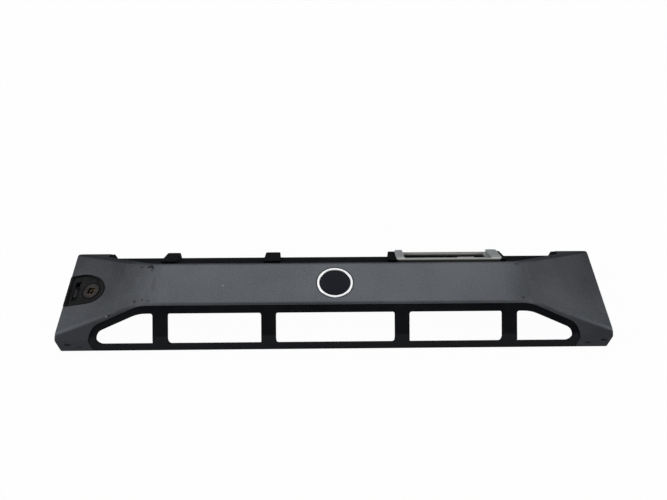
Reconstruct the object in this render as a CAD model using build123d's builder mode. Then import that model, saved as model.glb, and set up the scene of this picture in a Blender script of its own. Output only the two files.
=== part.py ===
from build123d import *
from math import atan2, cos, sin, tan
import os

# Front bezel of a two unit rack server, lying on its back with its face up
# X runs along its width, Y towards its top edge and Z out of its face, with Z zero on its back plane

# Outer form
bezel_width = 442.0
bezel_height = 86.0
bezel_depth = 31.5
end_depth = 17.0
wing_length = 64.0
top_facet = 23.2
low_facet = 22.5
top_lip = 16.5
low_lip = 13.5
overrun = 8.0

# Walls and seams
cover_wall = 2.0
frame_wall = 1.6
frame_step = 0.8
seam_gap = 0.15
fold_radius = 22.0
crease_radius = 7.0
edge_reach = 1.2
corner_radius = 2.2
lip_radius = 1.4

# Outline of the painted cover
cover_top_past_band = 1.0
cover_low_past_band = 0.3
wing_top_inset = 28.3
wing_top_drop = 7.0
wing_low_inset = 26.5
wing_low_rise = 8.8
cover_bend_top_inset = 5.0
cover_bend_low_inset = 2.0
cover_bend_radius = 38.0
cover_corner_radius = 12.0

# Recess along the top edge of the frame
recess_inset = 8.7
recess_slant = 5.5
recess_drop = 8.6
display_bay_border = 1.6
display_bay_drop = 0.2

# Windows and struts
outer_strut_inset = 18.6
inner_strut_share = 0.3822
strut_width = 11.6
window_margin = 7.0
rail_height = 9.7
window_radius = 1.8
end_window_bend_inset = 1.5
end_window_border = 5.6
end_window_tip_drop = 14.5
end_window_bend_radius = 30.0
end_window_tip_radius = 7.0
end_window_foot_radius = 4.0
strut_rib_width = 2.0
strut_rib_depth = 5.0

# Locating posts on the upper slope
inner_post_left = 7.9
inner_post_right = 6.2
inner_post_left_slant = 1.3
inner_post_right_slant = 0.6
outer_post_left = 7.0
outer_post_right = 5.7
outer_post_left_slant = 0.3
outer_post_right_slant = 1.4
post_proud = 1.5
post_root_past_band = 3.0
post_end_inset = 1.7
post_tip_radius = 1.3
post_low = 5.0
post_wall = 1.5
post_hollow_top = 12.0

# Ribs behind the band
rib_thickness = 1.5
rib_inset = 5.0
rib_count = 9
rib_low_inset = 2.0
rib_high_overhang = 3.2
rib_low_z = 19.0
rib_back_z = 12.0
rib_shoulder_y = -9.0

# Screws that hold the cover to the frame
boss_radius = 2.6
boss_length = 4.5
boss_hole_radius = 1.25
cup_wall = 1.5
cup_floor = 1.5
cup_gap = 0.3
screw_head_radius = 2.4
screw_head_height = 1.5
screw_radius = 1.2
screw_clearance = 0.3
driver_slot = 0.7
driver_depth = 0.6
band_screw_pitches_share = 1.5
band_screw_y = 11.0
outer_screw_pitches_share = 3.5
outer_screw_y = -10.0
wing_screw_inset = 45.0
wing_screw_y = 16.0
corner_screw_inset = 16.0
corner_screw_rise = 16.0

# Hooks at the right-hand end
hook_inset = 23.0
hook_length = 15.0
hook_nose = 3.0
hook_nose_height = 3.5
hook_y = 22.0
hook_thickness = 4.0
hook_clear_z = 2.5

# Badge
badge_radius = 14.6
badge_ring_width = 2.0
badge_recess = 1.0
badge_gap = 0.25
badge_ring_height = 1.2
badge_disc_height = 0.9
badge_pad_height = 0.2
badge_pad_radius = 11.5

# Lock housing, set square to the left-hand wing
lock_inset = 20.8
lock_y = 1.3
pocket_depth = 1.6
pocket_top = 16.8
pocket_low = -12.3
pocket_right = 11.2
pocket_bend_x = -11.0
pocket_end_strip = 1.8
pocket_end_depth = 7.0
flange_end_x = -19.4
flange_right = 14.6
flange_top = 20.0
flange_low = -16.2
housing_boss_radius = 8.0
housing_boss_depth = 6.0
housing_post_radius = 2.0
housing_screw_x = 9.4
housing_screw_top = 15.5
housing_screw_low = -13.3
housing_screw_radius = 0.9
housing_screw_head = 2.7
housing_screw_head_height = 1.2

# Key cylinder
barrel_radius = 6.0
barrel_flange_radius = 6.8
barrel_flange_height = 1.3
barrel_end = 12.0
barrel_groove_radius = 7.7
barrel_groove_depth = 1.0
turning_gap = 0.05
plug_radius = 4.5
plug_head_radius = 5.3
plug_head_height = 1.0
keyway_radius = 3.0
keyway_depth = 3.2
keyway_post_radius = 1.1
keyway_notch = 1.1
keyway_notch_reach = 4.1
key_pin_radius = 0.42
key_pin_ring = 2.05
key_pin_height = 1.5
key_pin_count = 7
washer_height = 0.6
washer_radius = 7.6
nut_flat = 7.0
nut_height = 2.4
cam_square = 5.0
cam_gap = 0.1
cam_thickness = 1.6
cam_reach = 12.5
cam_width = 6.4
cam_hub_radius = 5.2
cam_screw_head = 3.9
cam_screw_head_height = 1.3
cam_screw_depth = 4.0

# Release latch beside the key cylinder
latch_x = -13.8
latch_width = 7.6
latch_sheet = 1.8
latch_top_gap = 0.3
latch_low = -13.0
latch_high = 9.0
latch_travel = 3.5
slot_width = 5.2
slot_low = -7.5
slot_end_gap = 1.4
pad_width = 4.2
pad_low = -3.2
pad_length = 9.6
pad_face = 2.0
pad_groove = 0.5
pad_groove_pitch = 1.6
pad_groove_count = 5
rail_wall = 1.2
rail_gap = 0.25
guide_depth = 8.0
latch_tab = 1.5
catch_width = 3.0
catch_height = 3.8
catch_depth = 15.5
catch_nose = 3.0
catch_nose_height = 3.0
plate_thickness = 1.2
plate_right = -4.2
plate_low = -14.5
plate_notch_top = -4.5
plate_round = 8.9
plate_screw_x = -6.4
plate_screw_high = 17.4
plate_screw_low = -11.8
plate_screw_radius = 0.9
plate_screw_head = 1.9
plate_screw_head_height = 1.1
plate_post_radius = 2.1
spring_radius = 1.35
spring_wire = 0.26
spring_wire_sides = 6
spring_turns = 5
spring_stop = 18.4
spring_stop_wall = 1.6
spring_seat_gap = 0.05

# Surround of the display opening
surround_left_of_strut = 1.0
surround_right_of_strut = 2.0
surround_front = 4.1
surround_back_margin = 1.7
front_rail_proud = 2.0
arm_proud = 2.6
back_rail_proud = 0.3
surround_seat = 1.2
surround_skirt = 2.8
left_arm_width = 6.9
right_arm_width = 12.0
right_arm_step = 3.0
front_rail_width = 2.2
front_tab_left = 44.0
front_tab_width = 14.0
front_tab_thickness = 1.2
front_tab_proud = 0.5
back_rail_width = 2.1
surround_skirt_wall = 1.6
surround_edge_radius = 0.5
surround_corner_radius = 2.5
surround_gap = 0.1
surround_screw_x = 3.6
surround_screw_past_front = 6.3
surround_screw_depth = 2.4

slot_high = pad_low + pad_length + latch_travel + slot_end_gap
half_width = bezel_width / 2
half_height = bezel_height / 2
band_top = half_height - top_facet
band_low = low_facet - half_height
fold_x = half_width - wing_length
wing_top_x = half_width - wing_top_inset
wing_top_y = half_height - wing_top_drop
wing_low_x = half_width - wing_low_inset
wing_low_y = wing_low_rise - half_height
cover_bend_top_x = fold_x - cover_bend_top_inset
cover_bend_low_x = fold_x - cover_bend_low_inset
outer_strut_x = fold_x - outer_strut_inset
strut_x = outer_strut_x * inner_strut_share
end_window_bend_x = fold_x - end_window_bend_inset
end_window_tip_x = wing_low_x - end_window_border
rib_pitch = 2 * (fold_x - rib_inset) / (rib_count - 1)
rib_low_y = band_low + rib_low_inset
rib_high_y = band_top + rib_high_overhang
lock_x = half_width - lock_inset
hook_x = half_width - hook_inset
low_angle = atan2(bezel_depth - low_lip, low_facet)
top_angle = atan2(bezel_depth - top_lip, top_facet)
wing_angle = atan2(bezel_depth - end_depth, half_width - fold_x)

surround_left = strut_x - surround_left_of_strut
surround_right = outer_strut_x + surround_right_of_strut
surround_back = top_facet / cos(top_angle) - surround_back_margin
opening_left = surround_left + left_arm_width
opening_right = surround_right - right_arm_width
opening_front = surround_front + front_rail_width
opening_back = surround_back - back_rail_width
recess_x = wing_top_x - recess_inset
recess_y = half_height - recess_drop
display_bay_x = surround_left - surround_gap - display_bay_border
display_bay_end_x = surround_right + surround_gap + display_bay_border
display_bay_y = half_height - display_bay_drop
post_root_y = band_top + post_root_past_band
post_end_y = half_height - post_end_inset

low_slope = Plane(
    origin=(0, band_low, bezel_depth),
    x_dir=(1, 0, 0),
    z_dir=(0, -sin(low_angle), cos(low_angle)),
)
top_slope = Plane(
    origin=(0, band_top, bezel_depth),
    x_dir=(1, 0, 0),
    z_dir=(0, sin(top_angle), cos(top_angle)),
)


def front_height(x):
    """Height of the band and wings above the back plane."""
    return bezel_depth - max(abs(x) - fold_x, 0) * tan(wing_angle)


lock_face = Plane(
    origin=(-lock_x, lock_y, front_height(lock_x)),
    x_dir=(cos(wing_angle), 0, sin(wing_angle)),
    z_dir=(-sin(wing_angle), 0, cos(wing_angle)),
)

full_plan = [
    (-half_width, -half_height),
    (half_width, -half_height),
    (half_width, half_height),
    (-half_width, half_height),
]
frame_plan = [
    (-half_width, -half_height),
    (half_width, -half_height),
    (half_width, half_height),
    (recess_x + recess_slant, half_height),
    (recess_x, recess_y),
    (display_bay_end_x, recess_y),
    (display_bay_end_x, display_bay_y),
    (display_bay_x, display_bay_y),
    (display_bay_x, recess_y),
    (-recess_x, recess_y),
    (-recess_x - recess_slant, half_height),
    (-half_width, half_height),
]


def bow_tie(plan, inset, drop):
    """The bezel's outer form, brought in by a wall and lowered by a step, open below the back plane."""
    side_reach = half_height + overrun
    end_reach = half_width + overrun
    top = bezel_depth - drop
    with BuildPart() as form:
        with BuildSketch(Plane.XY.offset(-overrun)):
            with BuildLine():
                Polyline(*plan, close=True)
            make_face()
            if inset:
                offset(amount=-inset, kind=Kind.INTERSECTION)
        extrude(amount=bezel_depth + 2 * overrun)
        with BuildSketch(Plane.YZ):
            with BuildLine():
                Polyline(
                    (-side_reach, -2 * overrun),
                    (-side_reach, top - (side_reach + band_low) * tan(low_angle)),
                    (band_low, top),
                    (band_top, top),
                    (side_reach, top - (side_reach - band_top) * tan(top_angle)),
                    (side_reach, -2 * overrun),
                    close=True,
                )
            make_face()
            if inset:
                offset(amount=-inset, kind=Kind.INTERSECTION)
        extrude(amount=bezel_width, both=True, mode=Mode.INTERSECT)
        with BuildSketch(Plane.XZ):
            with BuildLine():
                Polyline(
                    (-end_reach, -2 * overrun),
                    (-end_reach, top - (end_reach - fold_x) * tan(wing_angle)),
                    (-fold_x, top),
                    (fold_x, top),
                    (end_reach, top - (end_reach - fold_x) * tan(wing_angle)),
                    (end_reach, -2 * overrun),
                    close=True,
                )
            make_face()
            if inset:
                offset(amount=-inset, kind=Kind.INTERSECTION)
        extrude(amount=bezel_height, both=True, mode=Mode.INTERSECT)
    return form.part


def cover_region(growth):
    """Plan of the painted cover: the band, both wings and their four end corners."""
    top = band_top + cover_top_past_band
    low = band_low - cover_low_past_band
    reach_x = half_width + overrun
    reach_y = half_height + overrun
    with BuildSketch(Plane.XY.offset(-overrun)) as region:
        for side in (1, -1):
            with BuildLine():
                Polyline(
                    (0, top),
                    (side * cover_bend_top_x, top),
                    (side * wing_top_x, wing_top_y),
                    (side * wing_top_x, reach_y),
                    (side * reach_x, reach_y),
                    (side * reach_x, -reach_y),
                    (side * wing_low_x, -reach_y),
                    (side * wing_low_x, wing_low_y),
                    (side * cover_bend_low_x, low),
                    (0, low),
                    close=True,
                )
            make_face()
        corners = region.vertices()
        bends = corners.filter_by(lambda v: abs(abs(v.X) - cover_bend_top_x) < edge_reach)
        bends += corners.filter_by(lambda v: abs(abs(v.X) - cover_bend_low_x) < edge_reach)
        fillet(bends, radius=cover_bend_radius)
        corners = region.vertices()
        tips = corners.filter_by(lambda v: abs(v.Y - wing_low_y) < edge_reach)
        fillet(tips, radius=cover_corner_radius)
        if growth:
            offset(amount=growth, kind=Kind.INTERSECTION)
    return region.sketch


def mirrored(places):
    """The same places on both ends of the bezel."""
    return [(side * x, y) for x, y in places for side in (1, -1)]


screw_places = mirrored(
    [
        (band_screw_pitches_share * rib_pitch, band_screw_y),
        (outer_screw_pitches_share * rib_pitch, outer_screw_y),
        (half_width - wing_screw_inset, wing_screw_y),
        (half_width - corner_screw_inset, corner_screw_rise - half_height),
    ]
)


def boss_end(x):
    """Height of the lower end of a cover boss."""
    return front_height(x) - cover_wall - boss_length


def pocket_outline(inset):
    """Outline of the lock pocket on the wing, rounded at one end and running out over the end wall."""
    end = -(half_width - lock_x) / cos(wing_angle) - overrun
    with BuildSketch(lock_face) as outline:
        with BuildLine():
            upper = TangentArc((pocket_bend_x, pocket_top), (pocket_right, 0), tangent=(1, 0))
            lower = TangentArc((pocket_right, 0), (0, pocket_low), tangent=upper % 1)
            Polyline((0, pocket_low), (end, pocket_low), (end, pocket_top), (pocket_bend_x, pocket_top))
        make_face()
        if inset:
            offset(amount=-inset, kind=Kind.INTERSECTION)
    return outline.sketch


def place_on_lock(x, y, height):
    """A plane parallel to the wing, at a place beside the key cylinder."""
    spot = lock_face.from_local_coords(Vector(x, y, height))
    return Plane(origin=spot, x_dir=lock_face.x_dir, z_dir=lock_face.z_dir)


whole_form = bow_tie(full_plan, 0, 0)
cover_hollow = bow_tie(full_plan, cover_wall, 0)
full_hollow = bow_tie(full_plan, cover_wall + frame_wall, 0)
frame_show = bow_tie(frame_plan, 0, frame_step)
frame_under = bow_tie(frame_plan, cover_wall, 0)
frame_hollow = bow_tie(frame_plan, cover_wall + frame_wall, 0)

window_foot = low_facet * cos(low_angle) + (bezel_depth - rail_height) * sin(low_angle)
window_middle = -(window_margin + window_foot) / 2
window_height = window_foot - window_margin
strut_edge = outer_strut_x + strut_width / 2

# Depths below the face of the left-hand wing
flange_back = -(cover_wall + frame_wall)
guide_back = -guide_depth
plate_back = guide_back - plate_thickness
housing_screws_at = [(housing_screw_x, housing_screw_top), (housing_screw_x, housing_screw_low)]
plate_screws_at = [(plate_screw_x, plate_screw_high), (plate_screw_x, plate_screw_low)]
rail_shift = latch_width / 2 + rail_gap + rail_wall / 2

# Painted cover
with BuildPart() as front_cover:
    add(whole_form)
    folds = front_cover.edges().filter_by(Axis.Y).filter_by(lambda e: e.center().Z > bezel_depth - edge_reach)
    fillet(folds, radius=fold_radius)
    band_edges = front_cover.edges().filter_by(lambda e: e.center().Z > bezel_depth - edge_reach)
    band_edges = band_edges.filter_by(Axis.X).filter_by(lambda e: e.length > fold_x)
    fillet(band_edges, radius=crease_radius)
    fillet(front_cover.edges().filter_by(Axis.Z), radius=corner_radius)
    long_edges = front_cover.edges().filter_by(Axis.X).filter_by(lambda e: e.center().Z > edge_reach)
    fillet(long_edges.filter_by(lambda e: abs(e.center().Y) > half_height - edge_reach), radius=lip_radius)
    add(cover_hollow, mode=Mode.SUBTRACT)
    extrude(cover_region(0), amount=bezel_depth + 2 * overrun, mode=Mode.INTERSECT)
    split(bisect_by=Plane.XY, keep=Keep.TOP)
    # Screw bosses under the band and the wings
    for x, y in screw_places:
        with BuildSketch(Plane.XY.offset(boss_end(x))):
            with Locations((x, y)):
                Circle(boss_radius)
        extrude(amount=boss_length + cover_wall / 2)
        with BuildSketch(Plane.XY.offset(boss_end(x))):
            with Locations((x, y)):
                Circle(boss_hole_radius)
        extrude(amount=boss_length, mode=Mode.SUBTRACT)
    # Opening for the lock housing, running out over the end wall, with the two posts that hold it
    for reach in (overrun, -pocket_end_depth):
        extrude(pocket_outline(0), amount=reach, mode=Mode.SUBTRACT)
    with BuildSketch(lock_face.offset(flange_back)):
        with Locations(*housing_screws_at):
            Circle(housing_post_radius)
    extrude(amount=frame_wall + cover_wall / 2)
    with BuildSketch(lock_face.offset(flange_back)):
        with Locations(*housing_screws_at):
            Circle(housing_screw_radius + turning_gap)
    extrude(amount=frame_wall + cover_wall / 2, mode=Mode.SUBTRACT)
    # Round seat of the badge
    with BuildSketch(Plane.XY.offset(bezel_depth)):
        Circle(badge_radius + badge_gap)
    extrude(amount=-badge_recess, mode=Mode.SUBTRACT)
front_cover.part.label = "front_cover"

# Ribs behind the band, kept out of sight of the windows
with BuildPart() as frame_ribs:
    for spot in range(rib_count):
        with BuildSketch(Plane.YZ.offset((spot - (rib_count - 1) / 2) * rib_pitch)):
            with BuildLine():
                Polyline(
                    (rib_low_y, bezel_depth),
                    (rib_low_y, rib_low_z),
                    (rib_shoulder_y, rib_back_z),
                    (rib_high_y, rib_back_z),
                    (rib_high_y, bezel_depth),
                    close=True,
                )
            make_face()
        extrude(amount=rib_thickness / 2, both=True)
    for y, low in ((rib_low_y, rib_low_z), (rib_high_y, rib_back_z)):
        with BuildSketch(Plane.XY.offset(low)):
            with Locations((0, y)):
                Rectangle(rib_pitch * (rib_count - 1) + rib_thickness, rib_thickness)
        extrude(amount=bezel_depth - low)
    # A rib behind each strut between the windows
    for x in (strut_x, outer_strut_x):
        for side in (1, -1):
            with BuildSketch(low_slope.offset(flange_back - strut_rib_depth)):
                with Locations((side * x, window_middle)):
                    Rectangle(strut_rib_width, window_height)
            extrude(amount=strut_rib_depth)
    # Cups round the cover's bosses
    for x, y in screw_places:
        with BuildSketch(Plane.XY.offset(boss_end(x) - cup_floor)):
            with Locations((x, y)):
                Circle(boss_radius + cup_gap + cup_wall)
        extrude(amount=cup_floor + boss_length + cover_wall + frame_wall)
    # Two hooks at the right-hand end that catch in the rack ear
    for side in (1, -1):
        with BuildSketch(Plane.XZ.offset(-side * hook_y)):
            with BuildLine():
                Polyline(
                    (hook_x, bezel_depth),
                    (hook_x, hook_clear_z),
                    (hook_x + hook_length + hook_nose, hook_clear_z),
                    (hook_x + hook_length + hook_nose, hook_clear_z + hook_nose_height),
                    (hook_x + hook_length, hook_clear_z + hook_nose_height),
                    (hook_x + hook_length, bezel_depth),
                    close=True,
                )
            make_face()
        extrude(amount=hook_thickness / 2, both=True)
    add(frame_hollow, mode=Mode.INTERSECT)

surround_middle = (surround_left + surround_right) / 2
surround_centre = (surround_middle, (surround_front + surround_back) / 2)
opening_centre = ((opening_left + opening_right) / 2, (opening_front + opening_back) / 2)
surround_screws_at = [
    (surround_left + surround_screw_x, surround_front + surround_screw_past_front),
    (surround_right - surround_screw_x, surround_front + surround_screw_past_front),
]
lock_room_end = -(half_width - lock_x) / cos(wing_angle) - overrun
lock_room_centre = ((lock_room_end + flange_right + seam_gap) / 2, (flange_top + flange_low) / 2)


def plain_block(plane, centre, width, length, radius=0):
    """Rectangle centred on a place of a plane, with its corners rounded if a radius is given."""
    with BuildSketch(plane) as block:
        with Locations(centre):
            if radius:
                RectangleRounded(width, length, radius)
            else:
                Rectangle(width, length)
    return block.sketch


def post_spans(side):
    """Roots and tips of the two posts on one side, cut short beside the display's surround."""
    inner_roots = (strut_x - inner_post_left, strut_x + inner_post_right)
    inner_tips = (inner_roots[0] + inner_post_left_slant, inner_roots[1] - inner_post_right_slant)
    outer_roots = (outer_strut_x - outer_post_left, outer_strut_x + outer_post_right)
    outer_tips = (outer_roots[0] + outer_post_left_slant, outer_roots[1] - outer_post_right_slant)
    if side > 0:
        inner_end = surround_left - surround_gap
        inner_roots = (inner_roots[0], inner_end)
        inner_tips = (inner_tips[0], inner_end)
        outer_start = surround_right + surround_gap
        outer_roots = (outer_start, outer_roots[1])
        outer_tips = (outer_start, outer_tips[1])
    return [(inner_roots, inner_tips), (outer_roots, outer_tips)]


# Locating posts, standing off the upper slope and running out past the rim of the recess
with BuildPart() as frame_posts:
    for side in (1, -1):
        for roots, tips in post_spans(side):
            with BuildSketch(Plane.XY.offset(post_low)) as post:
                with BuildLine():
                    Polyline(
                        (side * roots[0], post_root_y),
                        (side * tips[0], post_end_y),
                        (side * tips[1], post_end_y),
                        (side * roots[1], post_root_y),
                        close=True,
                    )
                make_face()
                tip_corners = post.vertices().group_by(Axis.Y)[-1]
                beside = (surround_left - surround_gap, surround_right + surround_gap)
                free_corners = tip_corners.filter_by(lambda v: min(abs(v.X - x) for x in beside) > seam_gap)
                fillet(free_corners, radius=post_tip_radius)
            extrude(amount=bezel_depth)
    split(bisect_by=top_slope.offset(post_proud), keep=Keep.BOTTOM)

# Moulded inner frame: window section, top strip, posts and ribs
with BuildPart() as inner_frame:
    add(frame_show)
    long_edges = inner_frame.edges().filter_by(Axis.X).filter_by(lambda e: e.center().Z > edge_reach)
    fillet(long_edges.filter_by(lambda e: e.center().Y < edge_reach - half_height), radius=lip_radius)
    long_edges = inner_frame.edges().filter_by(Axis.X).filter_by(lambda e: e.center().Z > edge_reach)
    fillet(long_edges.filter_by(lambda e: abs(e.center().Y - recess_y) < seam_gap), radius=lip_radius)
    extrude(cover_region(seam_gap), amount=bezel_depth + 2 * overrun, mode=Mode.SUBTRACT)
    add(frame_under)
    add(frame_posts.part)
    add(frame_hollow, mode=Mode.SUBTRACT)
    split(bisect_by=Plane.XY, keep=Keep.TOP)
    add(frame_ribs.part)
    # The posts are hollow from behind
    for side in (1, -1):
        for roots, tips in post_spans(side):
            if tips[1] - tips[0] > 3 * post_wall:
                with BuildSketch(Plane.XY.offset(post_low)):
                    with Locations((side * (tips[0] + tips[1]) / 2, (recess_y + post_end_y - post_wall) / 2)):
                        Rectangle(tips[1] - tips[0] - 2 * post_wall, post_end_y - recess_y - post_wall)
                extrude(amount=post_hollow_top - post_low, mode=Mode.SUBTRACT)
    # Room and screw holes for the cover's bosses
    for x, y in screw_places:
        with BuildSketch(Plane.XY.offset(boss_end(x))):
            with Locations((x, y)):
                Circle(boss_radius + cup_gap)
        extrude(amount=boss_length + cover_wall + frame_wall, mode=Mode.SUBTRACT)
        with BuildSketch(Plane.XY.offset(boss_end(x) - cup_floor)):
            with Locations((x, y)):
                Circle(boss_hole_radius)
        extrude(amount=cup_floor, mode=Mode.SUBTRACT)
    # Five windows cut square to the lower slope
    with BuildSketch(low_slope) as windows:
        with Locations((0, window_middle)):
            Rectangle(2 * strut_x - strut_width, window_height)
        for side in (1, -1):
            with Locations((side * (strut_x + outer_strut_x) / 2, window_middle)):
                Rectangle(outer_strut_x - strut_x - strut_width, window_height)
            with BuildLine():
                Polyline(
                    (side * strut_edge, -window_margin),
                    (side * end_window_bend_x, -window_margin),
                    (side * end_window_tip_x, -window_margin - end_window_tip_drop),
                    (side * end_window_tip_x, -window_foot),
                    (side * strut_edge, -window_foot),
                    close=True,
                )
            make_face()
        bends = windows.vertices().filter_by(lambda v: abs(abs(v.X) - end_window_bend_x) < seam_gap)
        fillet(bends, radius=end_window_bend_radius)
        tips = windows.vertices().filter_by(lambda v: abs(abs(v.X) - end_window_tip_x) < seam_gap)
        fillet(tips.sort_by(Axis.Y)[2:], radius=end_window_tip_radius)
        tips = windows.vertices().filter_by(lambda v: abs(abs(v.X) - end_window_tip_x) < seam_gap)
        fillet(tips.sort_by(Axis.Y)[:2], radius=end_window_foot_radius)
        square = windows.vertices().filter_by(lambda v: abs(v.X) < strut_edge + seam_gap)
        fillet(square, radius=window_radius)
    extrude(amount=bezel_depth / 2, both=True, mode=Mode.SUBTRACT)
    # Opening of the display, with the seat of its surround
    surround_room = plain_block(
        top_slope.offset(-surround_seat),
        surround_centre,
        surround_right - surround_left + 2 * surround_gap,
        surround_back - surround_front + 2 * surround_gap,
        surround_corner_radius,
    )
    extrude(surround_room, amount=surround_seat + overrun, mode=Mode.SUBTRACT)
    skirt_room = plain_block(
        top_slope.offset(flange_back - frame_wall),
        opening_centre,
        opening_right - opening_left + 2 * (surround_skirt_wall + surround_gap),
        opening_back - opening_front + 2 * (surround_skirt_wall + surround_gap),
    )
    extrude(skirt_room, amount=frame_wall - flange_back, mode=Mode.SUBTRACT)
    with BuildSketch(top_slope.offset(flange_back)):
        with Locations(*surround_screws_at):
            Circle(boss_hole_radius)
    extrude(amount=-flange_back, mode=Mode.SUBTRACT)
    # Room for the lock housing and the works behind it
    lock_room = plain_block(
        lock_face.offset(-bezel_depth),
        lock_room_centre,
        flange_right + seam_gap - lock_room_end,
        flange_top - flange_low + 2 * seam_gap,
    )
    extrude(lock_room, amount=bezel_depth + overrun, mode=Mode.SUBTRACT)
inner_frame.part.label = "inner_frame"

# Surround of the display opening, a light ring with a skirt that drops into the frame
with BuildPart() as display_surround:
    ring = plain_block(
        top_slope.offset(-surround_seat),
        surround_centre,
        surround_right - surround_left,
        surround_back - surround_front,
        surround_corner_radius,
    )
    extrude(ring, amount=surround_seat + arm_proud)
    # Between the arms the front rail is lower, and the back rail lies almost flush
    step_right = opening_right + right_arm_step
    front_cut = plain_block(
        top_slope.offset(front_rail_proud),
        ((opening_left + step_right) / 2, surround_front),
        step_right - opening_left,
        2 * front_rail_width,
    )
    extrude(front_cut, amount=overrun, mode=Mode.SUBTRACT)
    back_cut = plain_block(
        top_slope.offset(back_rail_proud),
        ((opening_left + step_right) / 2, (opening_front + surround_back + overrun) / 2),
        step_right - opening_left,
        surround_back + overrun - opening_front,
    )
    extrude(back_cut, amount=overrun, mode=Mode.SUBTRACT)
    tab_centre = (opening_left + front_tab_left + front_tab_width / 2, opening_front - front_tab_thickness / 2)
    front_tab = plain_block(top_slope, tab_centre, front_tab_width, front_tab_thickness)
    extrude(front_tab, amount=front_rail_proud + front_tab_proud)
    skirt = plain_block(
        top_slope.offset(-surround_skirt),
        opening_centre,
        opening_right - opening_left + 2 * surround_skirt_wall,
        opening_back - opening_front + 2 * surround_skirt_wall,
    )
    extrude(skirt, amount=surround_skirt)
    opening = plain_block(
        top_slope.offset(-surround_skirt),
        opening_centre,
        opening_right - opening_left,
        opening_back - opening_front,
    )
    extrude(opening, amount=surround_skirt + overrun, mode=Mode.SUBTRACT)
    along_normal = Axis(origin=(0, 0, 0), direction=top_slope.z_dir)
    arm_tops = display_surround.faces().filter_by(along_normal).group_by(along_normal)[-1]
    fillet(arm_tops.edges(), radius=surround_edge_radius)
    with BuildSketch(top_slope.offset(-surround_seat)):
        with Locations(*surround_screws_at):
            Circle(screw_radius + turning_gap)
    extrude(amount=surround_screw_depth, mode=Mode.SUBTRACT)
display_surround.part.label = "display_surround"


def screw_group(planes, radius, length, head_radius, head_height):
    """Slotted screws, each with its head below its plane and its shank above."""
    with BuildPart() as group:
        for plane in planes:
            with BuildSketch(plane):
                Circle(radius)
            extrude(amount=length)
            with BuildSketch(plane):
                Circle(head_radius)
            extrude(amount=-head_height)
            with BuildSketch(plane.offset(-head_height)):
                Rectangle(2 * head_radius, driver_slot)
            extrude(amount=driver_depth, mode=Mode.SUBTRACT)
    return group.part


# Screws through the frame into the cover's bosses
cover_screws = screw_group(
    [Plane((x, y, boss_end(x) - cup_floor)) for x, y in screw_places],
    screw_radius,
    cup_floor + boss_length - screw_clearance,
    screw_head_radius,
    screw_head_height,
)
cover_screws.label = "cover_screws"

# Screws that hold the display surround from behind
surround_screws = screw_group(
    [
        Plane(
            origin=top_slope.from_local_coords(Vector(x, y, flange_back)),
            x_dir=top_slope.x_dir,
            z_dir=top_slope.z_dir,
        )
        for x, y in surround_screws_at
    ],
    screw_radius,
    -flange_back - surround_seat + surround_screw_depth - screw_clearance,
    screw_head_radius,
    screw_head_height,
)
surround_screws.label = "surround_screws"

# Badge: a bright ring round a plain dark disc, on an adhesive pad
badge_floor = bezel_depth - badge_recess
badge_bore = badge_radius - badge_ring_width
with BuildPart() as badge_pad:
    with BuildSketch(Plane.XY.offset(badge_floor)):
        Circle(badge_pad_radius)
    extrude(amount=badge_pad_height)
badge_pad.part.label = "badge_pad"

with BuildPart() as badge_ring:
    with BuildSketch(Plane.XY.offset(badge_floor)):
        Circle(badge_radius)
        Circle(badge_bore, mode=Mode.SUBTRACT)
    extrude(amount=badge_ring_height)
    chamfer(badge_ring.faces().sort_by(Axis.Z)[-1].edges(), length=badge_gap)
badge_ring.part.label = "badge_ring"

with BuildPart() as badge_disc:
    with BuildSketch(Plane.XY.offset(badge_floor + badge_pad_height)):
        Circle(badge_bore - turning_gap)
    extrude(amount=badge_disc_height - badge_pad_height)
badge_disc.part.label = "badge_disc"

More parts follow.
